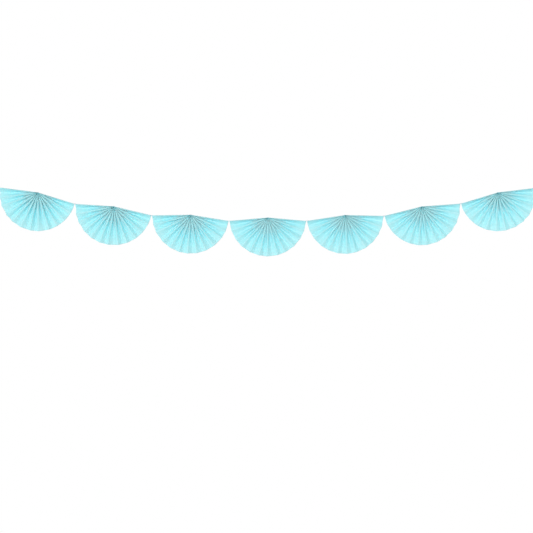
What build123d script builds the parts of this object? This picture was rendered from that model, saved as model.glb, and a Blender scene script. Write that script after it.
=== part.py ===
from build123d import *

import os
from math import cos, radians, sin, sqrt, tan

# Paper rosette garland: seven half-round fans of pleated tissue paper, tied corner to corner.
# Millimetres and degrees. X runs along the garland, the fans face -Y, and Z is up.
# The origin is the middle of the eyelet at the garland's left end.

# Pleated fans
FAN_RADIUS = 200.0        # hub to rim
FAN_SPAN = 170.0          # angle between the two end cards, below the hub
RIDGES = 13               # folds that stand to the front, with the two at the cards' front edges
RIM_DEPTH = 12.0          # how deep the opened pleats still are at the rim
RIM_RAKE = 1.0            # how far the ridges' tips reach past the rim, and the valleys' fall short
PAPER = 0.3               # thickness of the sheet
STACK_SPACING = 2.5       # spacing of the gathered leaves where they become a stack, in sheets
FACETS = 6                # flat facets along each panel, which twists from hub to rim

# Stiff end cards, glued on the sheet's two end flaps
CARD = 1.0                # thickness
CARD_INSET = 0.6          # from the hub line to a card's inner end
EYELET = 3.0              # diameter of the hole at a card's outer end
EYELET_INSET = 5.5        # from the card's outer end to the middle of that hole

# Threads
THREAD = 1.0              # diameter
THREAD_SIDES = 8          # flats round the thread
THREAD_CLEARANCE = 0.1    # between a thread and what it lies on or passes through
KNOT = 2.2                # diameter
KNOT_LENGTH = 2.4
STITCH_ANGLE = 32.0       # how far below the horizontal the hub stitch turns
STITCH_MARGIN = 1.2       # from the stitch's corners to the outside of the stack

# How the garland hangs: the slope of each fan, positive where its right side is the lower
FAN_SLOPES = (12.3, 8.5, 4.1, 0.0, -3.7, -9.1, -11.8)
CORNER_GAP = 4.5          # between the cards of two neighbours

# Worked out from the sizes above
PANELS = 2 * (RIDGES - 1)
FIRST_ANGLE = (180 - FAN_SPAN) / 2
PANEL_ANGLE = FAN_SPAN / PANELS
CHORD_PER_RADIUS = 2 * sin(radians(PANEL_ANGLE / 2))
FOLD_WIDTH = sqrt(RIM_DEPTH**2 + (CHORD_PER_RADIUS * FAN_RADIUS) ** 2)
STACK_RADIUS = STACK_SPACING * PAPER / CHORD_PER_RADIUS
CARD_BOTTOM = PAPER
CARD_TOP = PAPER + CARD
EYELET_RADIUS = FAN_RADIUS - EYELET_INSET


def fold_direction(fold):
    """Unit vector from the hub along a fold. Fold 0 is at the left card, the last at the right."""
    angle = radians(FIRST_ANGLE + PANEL_ANGLE * fold)
    return Vector(-cos(angle), 0, -sin(angle))


def fold_corner(fold, radius, back):
    """Corner of the sheet at a fold: on its front face, or on its back face.

    Each leaf is a strip of constant width, so the folds come nearer to the middle plane as they
    spread: depth squared is fold width squared less chord squared. Even folds are the ridges. The
    end folds stay at the front edge of the cards. The hub stitch draws the leaves in at the back,
    so each leaf turns a little in its own plane, and its ridge ends further out than its valley.
    """
    chord = CHORD_PER_RADIUS * radius
    wall = PAPER * FOLD_WIDTH / chord
    end_fold = fold in (0, PANELS)
    depth = FOLD_WIDTH if end_fold else sqrt(FOLD_WIDTH**2 - chord**2)
    front = depth / 2 - wall if fold % 2 else -depth / 2
    rake = RIM_RAKE * (radius - STACK_RADIUS) / (FAN_RADIUS - STACK_RADIUS)
    reach = radius if end_fold else radius - rake if fold % 2 else radius + rake
    return fold_direction(fold) * reach + Vector(0, front + wall * back, 0)


def facet(*corners):
    """One flat face of the folded sheet."""
    return Face(Wire.make_polygon(corners))


def thread_loop(corners, diameter):
    """Thread pulled tight round these corners; it starts midway along the run back to the first."""
    start = (corners[0] + corners[-1]) / 2
    with BuildPart() as loop:
        with BuildLine() as path:
            Polyline(start, *corners, close=True)
        with BuildSketch(Plane(origin=start, x_dir=(0, 1, 0), z_dir=corners[0] - start)):
            RegularPolygon(diameter / 2, THREAD_SIDES)
        sweep(path=path.wire(), transition=Transition.RIGHT)
    return loop.part


def tied_thread(corners):
    """A thread loop with its knot, in the middle of the run back to the first corner."""
    start = (corners[0] + corners[-1]) / 2
    with BuildPart() as tie:
        add(thread_loop(corners, THREAD))
        with BuildSketch(Plane(origin=start, x_dir=(0, 1, 0), z_dir=corners[0] - start)):
            RegularPolygon(KNOT / 2, THREAD_SIDES)
        extrude(amount=KNOT_LENGTH / 2, both=True)
    return tie.part


# The left card's plane: X outwards from the hub, Z up through the flap and the card
left_card_plane = Plane(
    origin=(0, 0, 0),
    x_dir=fold_direction(0),
    z_dir=fold_direction(0).rotate(Axis.Y, 90),
)

# Hub stitch: down through one card, across the stack of leaves, and up through the other
stitch_reach = STACK_RADIUS - STITCH_MARGIN
stitch_x = stitch_reach * cos(radians(STITCH_ANGLE))
stitch_bottom = -stitch_reach * sin(radians(STITCH_ANGLE))
stitch_top = CARD_TOP + KNOT / 2 + THREAD_CLEARANCE
stitch_corners = [
    Vector(stitch_x, 0, stitch_top),
    Vector(stitch_x, 0, stitch_bottom),
    Vector(-stitch_x, 0, stitch_bottom),
    Vector(-stitch_x, 0, stitch_top),
]
stitch_channel = thread_loop(stitch_corners, THREAD + 2 * THREAD_CLEARANCE)

# Pleats: every panel is two flat triangles to a facet, front and back alike
radii = [STACK_RADIUS + (FAN_RADIUS - STACK_RADIUS) * step / FACETS for step in range(FACETS + 1)]
faces = []
for inner, outer in zip(radii, radii[1:]):
    for fold in range(PANELS):
        ridge, valley = (fold + 1, fold) if fold % 2 else (fold, fold + 1)
        for back in (False, True):
            inner_valley = fold_corner(valley, inner, back)
            outer_ridge = fold_corner(ridge, outer, back)
            faces.append(facet(fold_corner(ridge, inner, back), inner_valley, outer_ridge))
            faces.append(facet(fold_corner(valley, outer, back), inner_valley, outer_ridge))
    for fold in (0, PANELS):
        front_edge = [fold_corner(fold, inner, False), fold_corner(fold, outer, False)]
        back_edge = [fold_corner(fold, outer, True), fold_corner(fold, inner, True)]
        faces.append(facet(*front_edge, *back_edge))
for radius in (radii[0], radii[-1]):
    for fold in range(PANELS):
        front_edge = [fold_corner(fold, radius, False), fold_corner(fold + 1, radius, False)]
        back_edge = [fold_corner(fold + 1, radius, True), fold_corner(fold, radius, True)]
        faces.append(facet(*front_edge, *back_edge))

# One fan, one sheet: the pleats, the stack of leaves at the hub and the two flat end flaps
with BuildPart() as pleated_fan:
    add(Solid(Shell(faces)))
    with BuildSketch(Plane.XZ):
        with BuildLine():
            stack_rim = [fold_direction(fold) * STACK_RADIUS for fold in range(PANELS + 1)]
            Polyline((0, 0), *[(point.X, point.Z) for point in stack_rim], close=True)
        make_face()
    extrude(amount=FOLD_WIDTH / 2, both=True)
    with BuildSketch(left_card_plane):
        Rectangle(FAN_RADIUS, FOLD_WIDTH, align=(Align.MIN, Align.CENTER))
        with Locations((EYELET_RADIUS, 0)):
            Circle(EYELET / 2, mode=Mode.SUBTRACT)
    flap = extrude(amount=PAPER)
    mirror(flap, about=Plane.YZ)
    add(stitch_channel, mode=Mode.SUBTRACT)

with BuildPart() as left_card:
    with BuildSketch(left_card_plane.offset(CARD_BOTTOM)):
        with Locations((CARD_INSET, 0)):
            Rectangle(FAN_RADIUS - CARD_INSET, FOLD_WIDTH, align=(Align.MIN, Align.CENTER))
        with Locations((EYELET_RADIUS, 0)):
            Circle(EYELET / 2, mode=Mode.SUBTRACT)
    extrude(amount=CARD)
    add(stitch_channel, mode=Mode.SUBTRACT)

with BuildPart() as right_card:
    mirror(left_card.part, about=Plane.YZ)

hub_stitch = tied_thread(stitch_corners)


LEFT, RIGHT = -1, 1


def card_point(hub, side, along, height):
    """Point over a fan's end card: its distance from the hub line and its height over the leaf."""
    point = left_card_plane.from_local_coords(Vector(along, 0, height))
    return (hub * Pos(-side * point.X, 0, point.Z)).position


def hub_location(slope, card_end, place):
    """Where a fan's hub is, so that a point given over its left card lies at this place."""
    turned = Location((0, 0, 0), (0, slope, 0))
    return Location(place - card_point(turned, LEFT, *card_end), (0, slope, 0))


# The hubs, from left to right: the first fan hangs from its outer eyelet, at the origin, and each
# of the others starts a gap away from its neighbour's card, along the mean of their slopes
card_middle = CARD_BOTTOM + CARD / 2
hubs = [hub_location(FAN_SLOPES[0], (EYELET_RADIUS, card_middle), Vector(0, 0, 0))]
for slope, next_slope in zip(FAN_SLOPES, FAN_SLOPES[1:]):
    gap = Vector(CORNER_GAP, 0, 0).rotate(Axis.Y, (slope + next_slope) / 2)
    corner = card_point(hubs[-1], RIGHT, FAN_RADIUS, card_middle) + gap
    hubs.append(hub_location(next_slope, (FAN_RADIUS, card_middle), corner))

os.makedirs("parts", exist_ok=True)
prototypes = {
    "fan": pleated_fan.part,
    "left_card": left_card.part,
    "right_card": right_card.part,
    "hub_stitch": hub_stitch,
}
for number, hub in enumerate(hubs, start=1):
    for name, prototype in prototypes.items():
        with BuildPart() as piece:
            with Locations(hub):
                add(prototype)
        piece.part.label = f"{name}_{number}"
        export_step(piece.part, f"parts/{name}_{number}.step")

# Corner ties: through the eyelets of two neighbours, each run against the outer side of its hole
tie_reach = EYELET_RADIUS + EYELET / 2 - THREAD / 2 - THREAD_CLEARANCE
for number, (hub, next_hub) in enumerate(zip(hubs, hubs[1:]), start=1):
    bend = FIRST_ANGLE + (FAN_SLOPES[number - 1] - FAN_SLOPES[number]) / 2
    over = CARD_TOP + THREAD / 2 + THREAD_CLEARANCE
    under = THREAD / 2 + THREAD_CLEARANCE + (FAN_RADIUS - tie_reach) * tan(radians(bend))
    corners = [
        card_point(next_hub, LEFT, tie_reach, over),
        card_point(next_hub, LEFT, tie_reach, -under),
        card_point(hub, RIGHT, tie_reach, -under),
        card_point(hub, RIGHT, tie_reach, over),
    ]
    corner_tie = tied_thread(corners)
    corner_tie.label = f"corner_tie_{number}"
    export_step(corner_tie, f"parts/corner_tie_{number}.step")
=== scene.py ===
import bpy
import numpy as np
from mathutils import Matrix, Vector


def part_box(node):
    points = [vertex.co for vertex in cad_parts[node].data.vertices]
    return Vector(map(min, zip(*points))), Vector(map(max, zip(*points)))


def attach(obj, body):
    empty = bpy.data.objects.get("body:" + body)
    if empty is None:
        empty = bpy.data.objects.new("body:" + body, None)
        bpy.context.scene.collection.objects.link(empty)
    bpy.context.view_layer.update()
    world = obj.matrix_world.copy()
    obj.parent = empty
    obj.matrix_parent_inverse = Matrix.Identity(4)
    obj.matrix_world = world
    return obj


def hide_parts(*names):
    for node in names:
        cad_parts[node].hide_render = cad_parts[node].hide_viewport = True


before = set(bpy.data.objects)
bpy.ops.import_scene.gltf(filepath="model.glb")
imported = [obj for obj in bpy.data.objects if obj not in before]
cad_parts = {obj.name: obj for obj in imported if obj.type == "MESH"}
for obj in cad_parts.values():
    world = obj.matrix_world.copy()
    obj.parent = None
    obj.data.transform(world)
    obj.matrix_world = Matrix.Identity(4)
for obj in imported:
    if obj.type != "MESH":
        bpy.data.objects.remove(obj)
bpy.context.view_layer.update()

# Paper rosette garland: seven pleated fans of aqua tissue paper, their cards and their threads.
# Metres. X runs along the garland, the fans face -Y, and Z is up.

MM = 0.001

# The fans, as in the frame
FANS = 7
FAN_RADIUS = 200 * MM
FAN_SPAN = 170.0
RIDGES = 13
RIM_DEPTH = 12 * MM
RIM_RAKE = 1 * MM
FAN_SLOPES = np.radians((12.3, 8.5, 4.1, 0.0, -3.7, -9.1, -11.8))
CARD_SLOPE = np.radians((180 - FAN_SPAN) / 2)
CARD = 1 * MM
FLAP = 0.3 * MM
CARD_INSET = 0.6 * MM
EYELET = 3 * MM
EYELET_INSET = 5.5 * MM

PANELS = 2 * (RIDGES - 1)
PANEL_ANGLE = np.radians(FAN_SPAN) / PANELS
CHORD_PER_RADIUS = 2 * np.sin(PANEL_ANGLE / 2)
FOLD_WIDTH = np.hypot(RIM_DEPTH, CHORD_PER_RADIUS * FAN_RADIUS)

# The tissue sheet and its grid
TISSUE = 0.16 * MM         # thickness
HUB_RADIUS = 1.3 * MM      # where the leaves begin
LEAF_COLUMNS = 12          # grid cells across a leaf
LEAF_ROWS = 84             # and from hub to rim
ROW_SPREAD = 1.25          # above 1, the rows are closer near the hub
CREASE_SHARPNESS = 0.985   # 1 is a sharp fold

# The leaves near the hub
GATHER = 85 * MM           # how far from the hub the folds stay swollen
CREST = 0.96               # a swollen fold's half width, as a share of the leaf's
CREST_DEPTH = 0.1          # and its share of the pleat's depth
CREST_SHARE = 0.3          # and of the leaf's grid
TIGHT = 0.5                # how much of the swelling the hub stitch presses flat
TIGHT_RADIUS = 24 * MM
PINCH = 0.85               # how much of the pleats' depth the stitch draws in
PINCH_RADIUS = 10 * MM
BUNCH = 60 * MM            # how far from the hub the leaves stand in bunches
BUNCH_FOLDS = (3.2, 5.2)   # folds from one bunch to the next
BUNCH_ANGLE = np.radians(1.8)
BUNCH_DEPTH = 0.15         # how much of their depth those between two bunches are drawn in

# The sheet's uneven folds, bows and crinkles
SEED = 40
FOLD_JITTER = np.radians(1.1)
SWAY_CHANGE = 0.5          # how much of a fold's sway changes along it
SWAY_WAVE = 3.0            # and how fast, in radians from hub to rim
DEPTH_JITTER = 0.07
RIPPLE = (60 * MM, 140 * MM)  # length of the wave in a fold's depth
RIPPLE_START = 6.0         # and the last angle at which it can start, in radians
RIM_JITTER = 0.5 * MM
BOW = 0.9 * MM
BOW_NEAR = 0.4             # share of a leaf's bow that is there from the hub on
FINE_CRINKLE = 0.66 * MM
FINE_WAVES = (26, 6 * MM, 26 * MM)  # how many, the shortest and the longest
COARSE_CRINKLE = 0.44 * MM
COARSE_WAVES = (13, 24 * MM, 70 * MM)

# The core: its profile is in shares of its radius and of its half depth
CORE_RADIUS = 1.5 * MM
CORE_PROFILE = ((0, -1), (0.85, -1), (1, -0.96), (1, 0.96), (0.85, 1), (0, 1))
CORE_SIDES = 16

# The end flaps' grids
FLAP_POINTS = (24, 9)      # along and across
EYELET_POINTS = (7, 48)    # rings, and points in each
EYELET_SPREAD = 1.5        # above 1, the rings are closer near the eyelet

# The threads
THREAD = 1 * MM
STITCH_X = 4.13 * MM
STITCH_BOTTOM = -2.58 * MM
STITCH_TOP = 2.5 * MM
TIE_X = 0.9 * MM           # from an eyelet's middle to the thread that bears on its outer side
THREAD_ROOM = 0.1 * MM
THREAD_SIDES = 18
THREAD_STEP = 0.6          # from one ring of a thread to the next, as a share of its radius
THREAD_TIP = 0.02          # radius left at a cut end, as a share
CORNER_POINTS = 7
STRANDS = 3
STRAND_DEPTH = 0.1
TWIST_PITCH = 4.2 * MM
KNOT_SCALE = 0.33 * MM     # of the knot's curve, which is 5.5 wide
KNOT_POINTS = 90
KNOT_THREAD = 0.36 * MM    # radius of the thread in a knot
TAIL_THREAD = 0.42 * MM    # and in a tail
TAIL_SPREAD = (0.55, 0.75)  # shares of its length that a tail runs along the loop and along Y
TAIL_RISE = 0.12
TAIL_POINTS = 20
STITCH_TAIL = (4.5 * MM, 0.16)  # length, and how much of it the tail's end drops
TIE_TAIL = (7 * MM, 0.5)

# Colours as they show on a screen, from 0 to 255
TISSUE_COLOURS = ((162, 242, 250), (174, 247, 254))
# paler colour of folds and wrinkles: partly crease whitening, partly painted highlight
FOLD_PALE_AND_HIGHLIGHT = (214, 250, 255)
CARD_COLOURS = ((150, 216, 224), (160, 226, 234))
# painted shade for the cards' cut edges that face front and back
CARD_EDGE_SHADE = (128, 196, 204)
THREAD_COLOURS = ((214, 219, 232), (244, 246, 252))

# The tissue's marks, with painted highlight along its folds and wrinkles
FOLD_LINE = 0.7 * MM       # half width of the line that a fold leaves
FOLD_PALE_AND_HIGHLIGHT_SHARE = 0.5               # how much of the paler colour the folds take: partly crease whitening, partly painted highlight
WRINKLE_HIGHLIGHT = 0.4         # and a wrinkle's share of that, which is all painted highlight
CRUMPLE_RELIEF = 0.4       # height of the wrinkles beside that of the creases from the hub
FIBRE_RELIEF = 0.2
FIBRE_STRETCH = (1.0, 0.22, 1.0)  # the second scale draws fibres out along the leaves
CREASE_STRETCH = (1.0, 0.035, 1.0)
CREASE_FADE = (1.0, 0.2)   # height of the creases at the hub and at the rim

# The camera, from the photograph: the width that it takes in at the fans, and what is at its centre
PICTURE = 533
MM_PER_PIXEL = 5.205
PICTURE_CENTRE = Vector((1381.7 * MM, 0, -409.4 * MM))
LENS = 85.0
SENSOR = 36.0

# The light: where each lamp stands, its strength, and how wide it is, in degrees
KEY_LAMP = ((-0.7, -0.7, 0.1), 0.6, 50)
FILL_LAMP = ((-0.1, -1, 0), 1.05, 40)
BACK_LAMP = ((0.4, 1, 0.7), 0.4, 40)
AMBIENT = 0.58
FLOOR_DROP = 2.1
FLOOR_HALF = 6.0
FLOOR_WHITE = (0.9, 0.9, 0.9, 1)
WHITE = (1, 1, 1, 1)


# Shapes

def grid_faces(rows, columns, closed=False):
    """Quads of a grid of points: each joins a point to the next in its row and in the next row."""
    row = np.arange(rows - 1)[:, None] * columns
    column = np.arange(columns if closed else columns - 1)[None, :]
    following = (column + 1) % columns
    quads = np.stack([row + column, row + following, row + columns + following,
                      row + columns + column], axis=-1)
    return quads.reshape(-1, 4)


def add_piece(name, points, faces, material, nodes, uv=None):
    """A mesh object at the origin that stands for these nodes and rides on the frame."""
    mesh = bpy.data.meshes.new(name)
    mesh.from_pydata(points.reshape(-1, 3).tolist(), [], faces.tolist())
    if uv is not None:
        layer = mesh.uv_layers.new(name="sheet")
        corner_points = np.empty(len(mesh.loops), dtype=np.int32)
        mesh.loops.foreach_get("vertex_index", corner_points)
        layer.data.foreach_set("uv", uv.reshape(-1, 2)[corner_points].ravel())
    mesh.materials.append(material)
    mesh.shade_smooth()
    piece = bpy.data.objects.new(name, mesh)
    bpy.context.scene.collection.objects.link(piece)
    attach(piece, "root")
    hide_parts(*nodes)
    return piece


def joined_patches(patches):
    """Points, faces and any UVs of several grids, as those of one mesh."""
    points, faces, uvs, first = [], [], [], 0
    for patch, quads, *uv in patches:
        points.append(patch.reshape(-1, 3))
        faces.append(quads + first)
        if uv:
            uvs.append(np.stack(uv, axis=-1).reshape(-1, 2))
        first += points[-1].shape[0]
    return np.concatenate(points), np.concatenate(faces), np.concatenate(uvs) if uvs else None


def unit(vectors):
    """These vectors, each divided by its length."""
    return vectors / np.linalg.norm(vectors, axis=-1, keepdims=True)


def from_hub(number, points):
    """Points of a fan's own frame, turned about Y by its slope and moved to its hub.

    The hub is found from the lowest corner of the box of the fan's left card, because the card's
    four corners are known from the hub.
    """
    cosine, sine = np.cos(FAN_SLOPES[number - 1]), np.sin(FAN_SLOPES[number - 1])
    turn = np.array([[cosine, 0, sine], [0, 1, 0], [-sine, 0, cosine]])
    along, height = np.meshgrid((CARD_INSET, FAN_RADIUS), (FLAP, FLAP + CARD))
    corners = over_card(along, 0, height) @ turn.T
    low = np.array(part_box(f"left_card_{number}")[0])
    hub = low - corners.min(axis=(0, 1))
    hub[1] = 0
    return points @ turn.T + hub


def over_card(along, across, height, side=-1):
    """Points over the left card's leaf, or the right one's: distance from hub, Y and height."""
    x = -along * np.cos(CARD_SLOPE) - height * np.sin(CARD_SLOPE)
    z = -along * np.sin(CARD_SLOPE) + height * np.cos(CARD_SLOPE)
    return np.stack(np.broadcast_arrays(-side * x, across, z), axis=-1)


def waves(rng, count, shortest, longest, u, v):
    """Sum of sine waves in random directions over the sheet.

    Each is as high as its length over the longest, and the sum is divided by the root of their
    number.
    """
    total = np.zeros(np.broadcast(u, v).shape)
    lengths = rng.uniform(shortest, longest, count)
    headings = rng.uniform(0, np.pi, count)
    phases = rng.uniform(0, 2 * np.pi, count)
    for length, heading, phase in zip(lengths, headings, phases):
        place = (u * np.cos(heading) + v * np.sin(heading)) / length
        total += length * np.sin(2 * np.pi * place + phase)
    return total / (np.sqrt(count) * longest)


def leaf_profile(gathered):
    """How far across (0 to 1) and how deep (0 to 1) a leaf's points lie, from one fold to the next.

    Opened out, a leaf is a straight line with creases that are a little round: across is
    x = (1 - cos(pi t)) / 2, and depth is 1 / 2 - arcsin(c cos(pi x)) / (2 arcsin c), with c its
    sharpness. Gathered, both its folds swell into quarter circles, here flattened, that almost
    touch the leaves next to them, with a straight wall between them.
    """
    t = np.linspace(0, 1, LEAF_COLUMNS + 1)
    straight = (1 - np.cos(np.pi * t)) / 2
    lean = np.arcsin(CREASE_SHARPNESS * np.cos(np.pi * straight))
    creased = 0.5 - lean / (2 * np.arcsin(CREASE_SHARPNESS))
    bend = np.pi / 2 * np.clip(np.minimum(t, 1 - t) / CREST_SHARE, 0, 1)
    to_wall = np.clip((t - CREST_SHARE) / (1 - 2 * CREST_SHARE), 0, 1)
    near = CREST * np.sin(bend)
    far = CREST_DEPTH * (1 - np.cos(bend))
    wall_across = CREST + (1 - 2 * CREST) * to_wall
    wall_depth = CREST_DEPTH + (1 - 2 * CREST_DEPTH) * to_wall
    on_wall = (t > CREST_SHARE) & (t < 1 - CREST_SHARE)
    round_across = np.where(on_wall, wall_across, np.where(t < 0.5, near, 1 - near))
    round_depth = np.where(on_wall, wall_depth, np.where(t < 0.5, far, 1 - far))
    across = straight * (1 - gathered) + round_across * gathered
    depth = creased * (1 - gathered) + round_depth * gathered
    return across, depth


def pinched(r):
    """Share of the pleats' depth that is left at a distance r from the hub: 1 - p exp(-(r / a)^2)."""
    return 1 - PINCH * np.exp(-(r / PINCH_RADIUS) ** 2)


def fold_points(r, rng):
    """Points of all the folds at these distances from the hub.

    Fold n lies at the angle s + n p + b B sin(w): s is the card's slope, p the panel angle,
    b = exp(-(r / bunch)^2) the share of the bunches, B their angle and w their wave. Its distance
    from the middle plane is half of d, where d^2 = fold width^2 - chord^2, times the pinch and
    times 1 - b D (1 + cos w) / 2, with D their depth. Even folds are ridges, in front. Angle,
    distance and reach have a random part that grows to the rim. The two end folds stay at the
    cards' front edges.
    """
    out = r / FAN_RADIUS
    number_of_fold = np.arange(PANELS + 1)
    sides = np.where(number_of_fold % 2, 1, -1)
    inner_folds = np.ones(PANELS + 1)
    inner_folds[[0, -1]] = 0

    steady = rng.normal(0, 1, PANELS + 1)
    changing = rng.normal(0, 1, PANELS + 1)
    sway = steady + SWAY_CHANGE * changing * np.sin(SWAY_WAVE * out)
    bunched = inner_folds * np.exp(-(r / BUNCH) ** 2)
    bunch = 2 * np.pi * number_of_fold / rng.uniform(*BUNCH_FOLDS) + rng.uniform(0, 2 * np.pi)
    angles = CARD_SLOPE + PANEL_ANGLE * number_of_fold + FOLD_JITTER * inner_folds * sway * out
    angles = angles + BUNCH_ANGLE * bunched * np.sin(bunch)

    depth = pinched(r) * np.sqrt(FOLD_WIDTH**2 - (CHORD_PER_RADIUS * r) ** 2) / 2
    ripple_length = rng.uniform(*RIPPLE, PANELS + 1)
    ripple = np.sin(2 * np.pi * (r / ripple_length) + rng.uniform(0, RIPPLE_START, PANELS + 1))
    drawn_in = BUNCH_DEPTH * bunched * (1 + np.cos(bunch)) / 2
    depths = depth * (1 + DEPTH_JITTER * inner_folds * ripple * out - drawn_in)
    depths[:, [0, -1]] = FOLD_WIDTH / 2

    rake = RIM_RAKE * sides + RIM_JITTER * rng.uniform(0, 1, PANELS + 1)
    reach = r - inner_folds * out * rake
    return np.stack([-np.cos(angles) * reach, depths * sides, -np.sin(angles) * reach], axis=-1)


def pleated_sheet(rng):
    """Grid of a folded sheet: rows from hub to rim, columns along the folded strip.

    A leaf joins two folds by its profile, which is gathered as exp(-(r / gather)^2) times
    1 - t exp(-(r / tight)^2), with t the share that is pressed flat. It is then moved along its
    normal by a bow and by crinkles, both nothing at its folds. The strip's length over a leaf is
    the leaf's own arc length, scaled to the fold width.
    """
    radii = HUB_RADIUS + (FAN_RADIUS - HUB_RADIUS) * np.linspace(0, 1, LEAF_ROWS + 1) ** ROW_SPREAD
    r = radii[:, None]
    folds = fold_points(r, rng)
    first, second = folds[:, :-1, None], folds[:, 1:, None]
    r = r[:, :, None]
    out = r / FAN_RADIUS

    tight = 1 - TIGHT * np.exp(-(r / TIGHT_RADIUS) ** 2)
    across, deep = leaf_profile(tight * np.exp(-(r / GATHER) ** 2))
    across = np.broadcast_to(across, (len(radii), PANELS, LEAF_COLUMNS + 1))[..., None]
    leaf = first + (second - first) * across
    leaf[..., 1] = first[..., 1] + (second - first)[..., 1] * deep

    passed = np.cumsum(np.linalg.norm(np.diff(leaf, axis=2), axis=-1), axis=2)
    share = np.pad(passed / passed[..., -1:], ((0, 0), (0, 0), (1, 0)))
    strip = (np.arange(PANELS)[:, None] + share) * FOLD_WIDTH
    run = np.broadcast_to(r, leaf.shape[:3])

    normal = unit(np.cross(second - first + 0 * leaf, np.gradient(leaf, axis=0)))
    swell = np.sin(np.pi * share) * out
    growth = BOW_NEAR + (1 - BOW_NEAR) * out
    bows = BOW * rng.normal(0, 1, PANELS)[None, :, None] * swell * growth
    fine = waves(rng, *FINE_WAVES, strip, run)
    coarse = waves(rng, *COARSE_WAVES, strip, run)
    crinkles = FINE_CRINKLE * fine + COARSE_CRINKLE * np.abs(coarse)
    height = bows + crinkles * np.sqrt(np.clip(swell, 0, 1))
    leaf = leaf + normal * height[..., None]
    leaf[:, 0] += over_card(0, 0, FLAP / 2) * (1 - share[:, 0, :, None])
    leaf[:, -1] += over_card(0, 0, FLAP / 2, side=1) * share[:, -1, :, None]

    pleats = np.concatenate([leaf[:, :, :-1].reshape(len(radii), -1, 3), leaf[:, -1, -1:]], axis=1)
    lengths = np.concatenate([strip[:, :, :-1].reshape(len(radii), -1), strip[:, -1, -1:]], axis=1)
    return pleats, lengths, np.broadcast_to(radii[:, None], lengths.shape)


def core_grid():
    """The gathered inner edges of the leaves, as a closed half-round plug under the cards."""
    angle = np.linspace(CARD_SLOPE, np.pi - CARD_SLOPE, CORE_SIDES + 1)[None, :]
    radius_share, depth_share = np.array(CORE_PROFILE).T[:, :, None]
    size = CORE_RADIUS * radius_share
    y = pinched(HUB_RADIUS) * FOLD_WIDTH / 2 * depth_share
    points = np.stack(np.broadcast_arrays(-np.cos(angle) * size, y, -np.sin(angle) * size), axis=-1)
    return points, y + 0 * angle, size + 0 * angle


def flap_grid(side):
    """Grid of an end flap from the hub to near its eyelet, flat under its card."""
    rows, columns = FLAP_POINTS
    along = np.linspace(0, FAN_RADIUS - 2 * EYELET_INSET, rows)[:, None]
    across = np.linspace(FOLD_WIDTH / 2, -FOLD_WIDTH / 2, columns)[None, :]
    return over_card(along, across, FLAP / 2, side), along, across


def eyelet_grid(side):
    """The flap's outer end, as rings that go from the eyelet's circle to the rectangle round it.

    A ring's radius is 1 - s of the circle's and s of the rectangle's at the same angle.
    """
    rings, sides = EYELET_POINTS
    turn = np.linspace(0, 2 * np.pi, sides + 1)[:-1][None, :]
    ring = np.linspace(0, 1, rings)[:, None] ** EYELET_SPREAD
    cosine, sine = np.cos(turn), np.sin(turn)
    edge = 1 / np.maximum(np.abs(cosine) / EYELET_INSET, np.abs(sine) / (FOLD_WIDTH / 2))
    radius = EYELET / 2 * (1 - ring) + edge * ring
    along = FAN_RADIUS - EYELET_INSET + radius * cosine
    return over_card(along, radius * sine, FLAP / 2, side), along, radius * sine


def add_fan(number, material):
    """One folded sheet: its pleats, its core and two flaps with their eyelets, given a thickness."""
    rng = np.random.default_rng(SEED + number)
    pleats, lengths, runs = pleated_sheet(rng)
    patches = [(pleats, grid_faces(*pleats.shape[:2]), lengths, runs)]
    core, core_strip, core_run = core_grid()
    patches.append((core, grid_faces(*core.shape[:2], closed=True), core_strip, core_run))
    for side, start in ((-1, -FOLD_WIDTH / 2), (1, (PANELS + 0.5) * FOLD_WIDTH)):
        for grid, closed in ((flap_grid, False), (eyelet_grid, True)):
            points, along, across = grid(side)
            strip, run = np.broadcast_arrays(start + side * across, along)
            patches.append((points, grid_faces(*points.shape[:2], closed), strip, run))
    points, faces, uv = joined_patches(patches)
    fan = add_piece(f"folded_sheet_{number}", from_hub(number, points), faces, material,
                    [f"fan_{number}"], uv)
    wall = fan.modifiers.new("paper thickness", "SOLIDIFY")
    wall.thickness = TISSUE
    wall.offset = 0


def rounded_loop(corners, radius):
    """Closed path round these corners: each is a quadratic curve between points near it."""
    start = corners + unit(np.roll(corners, 1, axis=0) - corners) * radius
    end = corners + unit(np.roll(corners, -1, axis=0) - corners) * radius
    t = np.linspace(0, 1, CORNER_POINTS)[None, :, None]
    curve = start[:, None] * (1 - t) ** 2 + 2 * corners[:, None] * t * (1 - t) + end[:, None] * t**2
    path = curve.reshape(-1, 3)
    return np.concatenate([path, path[:1]])


def evenly(path, step):
    """The same path with points an even distance apart."""
    steps = np.linalg.norm(np.diff(path, axis=0), axis=1)
    travelled = np.concatenate([[0], np.cumsum(steps)])
    places = np.linspace(0, travelled[-1], int(travelled[-1] / step) + 2)
    return np.stack([np.interp(places, travelled, path[:, axis]) for axis in range(3)], axis=-1)


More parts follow.
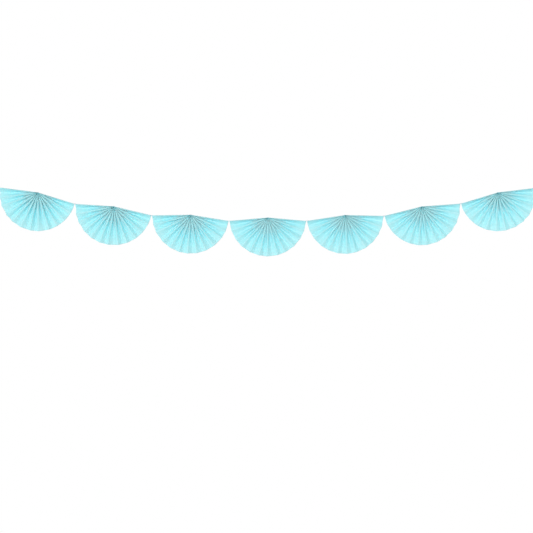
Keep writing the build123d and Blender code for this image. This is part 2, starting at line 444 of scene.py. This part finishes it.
def strand_tube(path, reference, radius, closed):
    """Twisted thread along a path: its radius has a lobe for each strand, which turns with length.

    Where an open tube ends, its radius falls almost to nothing, as a quarter circle.
    """
    points = evenly(path, radius * THREAD_STEP)
    if closed:
        points = points[:-1]
        tangent = np.roll(points, -1, axis=0) - np.roll(points, 1, axis=0)
    else:
        tangent = np.gradient(points, axis=0)
    tangent = unit(tangent)
    first = unit(np.cross(tangent, reference))
    second = np.cross(tangent, first)
    turn = np.linspace(0, 2 * np.pi, THREAD_SIDES + 1)[:-1][None, :]
    length = np.arange(len(points))[:, None] * radius * THREAD_STEP
    turns = np.round(length[-1] / TWIST_PITCH) if closed else length[-1] / TWIST_PITCH
    lobes = np.cos(STRANDS * (turn - 2 * np.pi * turns * length / length[-1]))
    local = radius * (1 - STRAND_DEPTH + STRAND_DEPTH * lobes)
    if not closed:
        to_end = np.minimum(length, length[-1] - length)
        tapered = 1 - (1 - to_end / radius).clip(0, 1) ** 2
        local = local * np.sqrt(np.clip(tapered, THREAD_TIP**2, 1))
    around = first[:, None] * np.cos(turn)[..., None] + second[:, None] * np.sin(turn)[..., None]
    ring = points[:, None] + local[..., None] * around
    if closed:
        ring = np.concatenate([ring, ring[:1]])
    return ring


def knot_path(middle, along):
    """An overhand knot: x = sin t + 2 sin 2t, y = -sin 3t and z = cos t - 2 cos 2t."""
    t = np.linspace(0, 2 * np.pi, KNOT_POINTS)
    x = np.sin(t) + 2 * np.sin(2 * t)
    z = np.cos(t) - 2 * np.cos(2 * t)
    shape = np.stack([x, -np.sin(3 * t), z], axis=-1)
    up = np.cross(along, (0, 1, 0))
    axes = np.stack([along, np.array((0, 1.0, 0)), up])
    return middle + (KNOT_SCALE * shape) @ axes


def add_tie(name, corners, tail, material, node):
    """Thread tied round these corners: its loop, its knot midway along the last run, two tails."""
    tail_length, tail_drop = tail
    middle = (corners[0] + corners[-1]) / 2
    along = unit(corners[0] - corners[-1])
    up = np.cross(along, (0, 1, 0))
    up = up * np.sign(up[2])
    y_axis = np.array((0, 1.0, 0))
    tubes = [strand_tube(rounded_loop(corners, THREAD), y_axis, THREAD / 2, True)]
    off_path = up + 0.3 * y_axis  # a direction that the knot's curve never takes
    tubes.append(strand_tube(knot_path(middle, along), off_path, KNOT_THREAD, True))
    t = np.linspace(0, 1, TAIL_POINTS)[:, None]
    for way in (-1, 1):
        sideways = way * t * (TAIL_SPREAD[0] * along + TAIL_SPREAD[1] * y_axis)
        upwards = (TAIL_RISE * np.sin(np.pi * t) - tail_drop * t**2) * up
        path = middle + tail_length * (sideways + upwards)
        tubes.append(strand_tube(path, up, TAIL_THREAD, False))
    patches = [(tube, grid_faces(*tube.shape[:2], closed=True)) for tube in tubes]
    points, faces, _ = joined_patches(patches)
    add_piece(name, points, faces, material, [node])


# Materials

def new_material(name):
    """A material, its node tree and its Principled shader."""
    material = bpy.data.materials.new(name)
    material.use_nodes = True
    return material, material.node_tree, material.node_tree.nodes["Principled BSDF"]


def add_node(tree, kind, inputs=None, **settings):
    """A node with these settings, and with its inputs set or joined to other nodes' outputs."""
    node = tree.nodes.new(kind)
    for key, value in settings.items():
        setattr(node, key, value)
    for key, value in (inputs or {}).items():
        if isinstance(value, bpy.types.NodeSocket):
            tree.links.new(value, node.inputs[key])
        else:
            node.inputs[key].default_value = value
    return node


def calculate(tree, operation, *values):
    """The output of a Math node."""
    return add_node(tree, "ShaderNodeMath", dict(enumerate(values)), operation=operation).outputs[0]


def in_range(tree, value, before, after):
    """This value, moved from the range before to the range after, and kept within it."""
    inputs = {"Value": value, "From Min": before[0], "From Max": before[1],
              "To Min": after[0], "To Max": after[1]}
    return add_node(tree, "ShaderNodeMapRange", inputs).outputs["Result"]


def blend(tree, factor, first, second):
    """A colour between two others, each a socket or a colour as it shows on a screen."""
    ends = [end if isinstance(end, bpy.types.NodeSocket) else colour(*end) for end in (first, second)]
    inputs = {"Factor": factor, "A": ends[0], "B": ends[1]}
    return add_node(tree, "ShaderNodeMix", inputs, data_type="RGBA").outputs["Result"]


def set_bump(tree, shader, height, strength, distance):
    """Relief of this height on a shader."""
    inputs = {"Height": height, "Strength": strength, "Distance": distance}
    bump = add_node(tree, "ShaderNodeBump", inputs)
    tree.links.new(bump.outputs["Normal"], shader.inputs["Normal"])


def colour(red, green, blue):
    """A colour given as it shows on a screen, from 0 to 255, for a socket."""
    screen = np.array((red, green, blue)) / 255
    linear = np.where(screen <= 0.04045, screen / 12.92, ((screen + 0.055) / 1.055) ** 2.4)
    return (*linear, 1.0)


def paper_fibres():
    """Group: cloudy thickness of pulp, and the short fibres that lie along the sheet."""
    group = bpy.data.node_groups.new("paper fibres", "ShaderNodeTree")
    for name, kind in (("Vector", "NodeSocketVector"), ("Cloud Scale", "NodeSocketFloat"),
                       ("Fibre Scale", "NodeSocketFloat")):
        group.interface.new_socket(name, in_out="INPUT", socket_type=kind)
    for name in ("Cloud", "Fibre"):
        group.interface.new_socket(name, in_out="OUTPUT", socket_type="NodeSocketFloat")
    enter = group.nodes.new("NodeGroupInput").outputs
    leave = group.nodes.new("NodeGroupOutput").inputs
    cloud = add_node(group, "ShaderNodeTexNoise", {
        "Vector": enter["Vector"], "Scale": enter["Cloud Scale"], "Detail": 3.0, "Roughness": 0.6})
    stretched = add_node(group, "ShaderNodeVectorMath", {0: enter["Vector"], 1: FIBRE_STRETCH},
                         operation="MULTIPLY")
    fibre = add_node(group, "ShaderNodeTexNoise", {
        "Vector": stretched.outputs[0], "Scale": enter["Fibre Scale"], "Detail": 4.0,
        "Roughness": 0.7, "Distortion": 0.6})
    group.links.new(cloud.outputs[0], leave["Cloud"])
    group.links.new(fibre.outputs[0], leave["Fibre"])
    return group


def use_fibres(tree, fibres, vector, cloud_scale, fibre_scale):
    """The fibre group's outputs in a material, at this material's scales."""
    node = tree.nodes.new("ShaderNodeGroup")
    node.node_tree = fibres
    tree.links.new(vector, node.inputs["Vector"])
    node.inputs["Cloud Scale"].default_value = cloud_scale
    node.inputs["Fibre Scale"].default_value = fibre_scale
    return node.outputs


def gather_creases(tree, sheet, run):
    """Fine creases that run from the hub outwards, and fade as the leaves open."""
    along = add_node(tree, "ShaderNodeVectorMath", {0: sheet, 1: CREASE_STRETCH},
                     operation="MULTIPLY")
    creases = add_node(tree, "ShaderNodeTexNoise", {
        "Vector": along.outputs[0], "Scale": 420.0, "Detail": 2.0})
    height = in_range(tree, run, (0, FAN_RADIUS), CREASE_FADE)
    return calculate(tree, "MULTIPLY", creases.outputs[0], height)


def fold_lines(tree, strip):
    """1 on the sheet's folds, 0 from a little way off."""
    distance = calculate(tree, "PINGPONG", strip, FOLD_WIDTH / 2)
    return in_range(tree, distance, (0, FOLD_LINE), (1, 0))


def tissue_material(fibres):
    """Aqua tissue: cloudy pulp, fibres, wrinkles, creases from the hub, and folds and wrinkles painted
    paler, partly as crease whitening and partly as painted highlight.
    """
    material, tree, shader = new_material("aqua tissue")
    sheet = add_node(tree, "ShaderNodeUVMap", uv_map="sheet").outputs["UV"]
    place = add_node(tree, "ShaderNodeSeparateXYZ", {0: sheet}).outputs
    pulp = use_fibres(tree, fibres, sheet, cloud_scale=90.0, fibre_scale=900.0)
    crumple = add_node(tree, "ShaderNodeTexNoise", {
        "Vector": sheet, "Scale": 110.0, "Detail": 3.0, "Roughness": 0.45},
        noise_type="RIDGED_MULTIFRACTAL").outputs[0]

    dyed = blend(tree, in_range(tree, pulp["Cloud"], (0.3, 0.7), (0, 1)), *TISSUE_COLOURS)
    # Paler colour along folds and wrinkle ridges: painted highlight, and on the folds also crease
    # whitening
    wrinkles = in_range(tree, crumple, (0.7, 1.3), (0, WRINKLE_HIGHLIGHT))
    fold_pale_and_highlight = calculate(tree, "MAXIMUM", fold_lines(tree, place["X"]), wrinkles)
    base = blend(tree, calculate(tree, "MULTIPLY", fold_pale_and_highlight, FOLD_PALE_AND_HIGHLIGHT_SHARE), dyed, FOLD_PALE_AND_HIGHLIGHT)
    tree.links.new(base, shader.inputs["Base Color"])
    rough = in_range(tree, pulp["Fibre"], (0, 1), (0.72, 0.92))
    tree.links.new(rough, shader.inputs["Roughness"])

    creases = gather_creases(tree, sheet, place["Y"])
    crumpled = calculate(tree, "MULTIPLY_ADD", crumple, CRUMPLE_RELIEF, creases)
    relief = calculate(tree, "MULTIPLY_ADD", pulp["Fibre"], FIBRE_RELIEF, crumpled)
    set_bump(tree, shader, relief, strength=0.9, distance=1 * MM)
    shader.inputs["Specular IOR Level"].default_value = 0.25
    shader.inputs["Subsurface Weight"].default_value = 0.4
    shader.inputs["Subsurface Radius"].default_value = (1.0, 1.0, 1.0)
    shader.inputs["Subsurface Scale"].default_value = 2 * MM
    return material


def card_material(fibres):
    """Dyed card: the same aqua, closer and smoother, with painted shade on its cut edges that face
    front and back.
    """
    material, tree, shader = new_material("aqua card")
    place = add_node(tree, "ShaderNodeTexCoord").outputs["Object"]
    pulp = use_fibres(tree, fibres, place, cloud_scale=140.0, fibre_scale=1500.0)
    normal = add_node(tree, "ShaderNodeNewGeometry").outputs["Normal"]
    facing = add_node(tree, "ShaderNodeSeparateXYZ", {0: normal}).outputs
    # Painted shade: the cut edges, which face along Y, take the darker edge colour
    edge = calculate(tree, "ABSOLUTE", facing["Y"])
    base = blend(tree, edge, blend(tree, pulp["Cloud"], *CARD_COLOURS), CARD_EDGE_SHADE)
    tree.links.new(base, shader.inputs["Base Color"])
    set_bump(tree, shader, pulp["Fibre"], strength=0.25, distance=0.1 * MM)
    shader.inputs["Roughness"].default_value = 0.7
    return material


def thread_material():
    """White cotton thread with a little fuzz between its strands."""
    material, tree, shader = new_material("white cotton thread")
    place = add_node(tree, "ShaderNodeTexCoord").outputs["Object"]
    fuzz = add_node(tree, "ShaderNodeTexNoise", {
        "Vector": place, "Scale": 4000.0, "Detail": 3.0}).outputs[0]
    tree.links.new(blend(tree, fuzz, *THREAD_COLOURS), shader.inputs["Base Color"])
    set_bump(tree, shader, fuzz, strength=0.5, distance=0.1 * MM)
    shader.inputs["Roughness"].default_value = 0.9
    return material


def studio_white():
    """Floor white: plain to the lamps, bright white to the camera, and open from below."""
    material, tree, shader = new_material("studio white")
    shader.inputs["Base Color"].default_value = FLOOR_WHITE
    shader.inputs["Roughness"].default_value = 1.0
    rays = add_node(tree, "ShaderNodeLightPath").outputs
    seen = calculate(tree, "MAXIMUM", rays["Is Camera Ray"], rays["Is Glossy Ray"])
    glow = add_node(tree, "ShaderNodeEmission", {"Color": WHITE, "Strength": 1.0})
    lit = add_node(tree, "ShaderNodeMixShader", {0: seen, 1: shader.outputs[0], 2: glow.outputs[0]})
    back = add_node(tree, "ShaderNodeNewGeometry").outputs["Backfacing"]
    clear = add_node(tree, "ShaderNodeBsdfTransparent")
    mixed = add_node(tree, "ShaderNodeMixShader", {0: back, 1: lit.outputs[0], 2: clear.outputs[0]})
    tree.links.new(mixed.outputs[0], tree.nodes["Material Output"].inputs["Surface"])
    return material


# Studio

def add_camera():
    """Level camera that looks along +Y at the picture's centre, from as far as its lens needs."""
    width = PICTURE * MM_PER_PIXEL * MM
    camera = bpy.data.objects.new("camera", bpy.data.cameras.new("camera"))
    camera.data.lens = LENS
    camera.data.sensor_width = SENSOR
    camera.location = PICTURE_CENTRE - Vector((0, width * LENS / SENSOR, 0))
    camera.rotation_euler = (np.pi / 2, 0, 0)
    bpy.context.scene.collection.objects.link(camera)
    bpy.context.scene.camera = camera


def add_lamp(name, direction, strength, softness):
    """Soft distant lamp, so that every fan is lit alike."""
    lamp = bpy.data.objects.new(name, bpy.data.lights.new(name, "SUN"))
    lamp.data.energy = strength
    lamp.data.angle = np.radians(softness)
    lamp.rotation_euler = Vector(direction).to_track_quat("Z", "Y").to_euler()
    bpy.context.scene.collection.objects.link(lamp)


def add_world(strength):
    """Soft light from all round, and plain white where the camera or a reflection sees it."""
    world = bpy.data.worlds.new("studio")
    bpy.context.scene.world = world
    world.use_nodes = True
    tree = world.node_tree
    rays = add_node(tree, "ShaderNodeLightPath").outputs
    glossy = calculate(tree, "MAXIMUM", rays["Is Camera Ray"], rays["Is Glossy Ray"])
    seen = calculate(tree, "MAXIMUM", glossy, rays["Is Transmission Ray"])
    ambient = tree.nodes["Background"]
    ambient.inputs["Color"].default_value = WHITE
    ambient.inputs["Strength"].default_value = strength
    plain = add_node(tree, "ShaderNodeBackground", {"Color": WHITE, "Strength": 1.0})
    mixed = add_node(tree, "ShaderNodeMixShader", {0: seen, 1: ambient.outputs[0], 2: plain.outputs[0]})
    tree.links.new(mixed.outputs[0], tree.nodes["World Output"].inputs["Surface"])


def add_floor(material):
    """Pale floor, well under the garland."""
    left, right = PICTURE_CENTRE.x - FLOOR_HALF, PICTURE_CENTRE.x + FLOOR_HALF
    corners = [(left, -FLOOR_HALF, -FLOOR_DROP), (right, -FLOOR_HALF, -FLOOR_DROP),
               (right, FLOOR_HALF, -FLOOR_DROP), (left, FLOOR_HALF, -FLOOR_DROP)]
    mesh = bpy.data.meshes.new("floor")
    mesh.from_pydata(corners, [], [(0, 1, 2, 3)])
    mesh.materials.append(material)
    floor = bpy.data.objects.new("floor", mesh)
    bpy.context.scene.collection.objects.link(floor)


add_camera()
add_world(AMBIENT)
add_lamp("key", *KEY_LAMP)
add_lamp("fill", *FILL_LAMP)
add_lamp("back", *BACK_LAMP)
add_floor(studio_white())
bpy.context.scene.view_settings.view_transform = "Standard"

fibres = paper_fibres()
tissue = tissue_material(fibres)
card = card_material(fibres)
thread = thread_material()

stitch = np.array([(STITCH_X, 0, STITCH_TOP), (STITCH_X, 0, STITCH_BOTTOM),
                   (-STITCH_X, 0, STITCH_BOTTOM), (-STITCH_X, 0, STITCH_TOP)])
for number in range(1, FANS + 1):
    add_fan(number, tissue)
    for node in (f"left_card_{number}", f"right_card_{number}"):
        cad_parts[node].data.materials.clear()
        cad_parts[node].data.materials.append(card)
    add_tie(f"stitch_{number}", from_hub(number, stitch), STITCH_TAIL, thread, f"hub_stitch_{number}")

over = FLAP + CARD + THREAD / 2 + THREAD_ROOM
reach = FAN_RADIUS - EYELET_INSET + TIE_X
for number in range(1, FANS):
    bend = CARD_SLOPE + (FAN_SLOPES[number - 1] - FAN_SLOPES[number]) / 2
    under = THREAD / 2 + THREAD_ROOM + (FAN_RADIUS - reach) * np.tan(bend)
    heights = np.array((over, -under))
    right = from_hub(number + 1, over_card(reach, 0, heights))
    left = from_hub(number, over_card(reach, 0, heights[::-1], side=1))
    corners = np.concatenate([right, left])
    add_tie(f"tie_{number}", corners, TIE_TAIL, thread, f"corner_tie_{number}")
